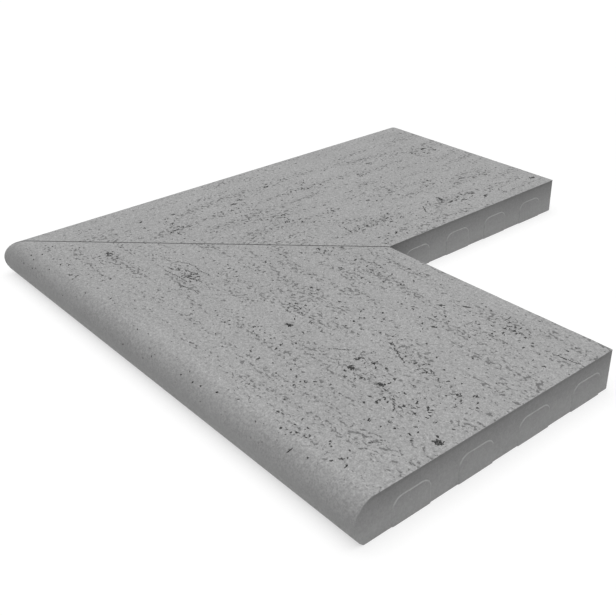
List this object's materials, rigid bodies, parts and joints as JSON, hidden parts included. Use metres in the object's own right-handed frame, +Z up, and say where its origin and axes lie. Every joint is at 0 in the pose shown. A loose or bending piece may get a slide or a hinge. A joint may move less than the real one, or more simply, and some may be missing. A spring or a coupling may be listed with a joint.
{
  "type": "pool coping corner stone",
  "caption": "L-shaped cast coping stone for an outside corner, mitred on top, with rounded outer edges and moulded spacer pads on its end and inner walls.",
  "frame": {"origin": "on the bed, under the middle of the square plan that the two outer edges span", "axes": "+Z up through the stone's thickness; +X along the near leg to its end wall; +Y along the far leg to its end wall; the mitre runs from the outer corner at -X -Y"},
  "size_m": [0.58, 0.58, 0.04],
  "materials": {
    "cast_stone": "matt pale grey cast stone, pitted like travertine on its top"
  },
  "bodies": {
    "root": {"coping_corner": "cast_stone"}
  },
  "joints": []
}
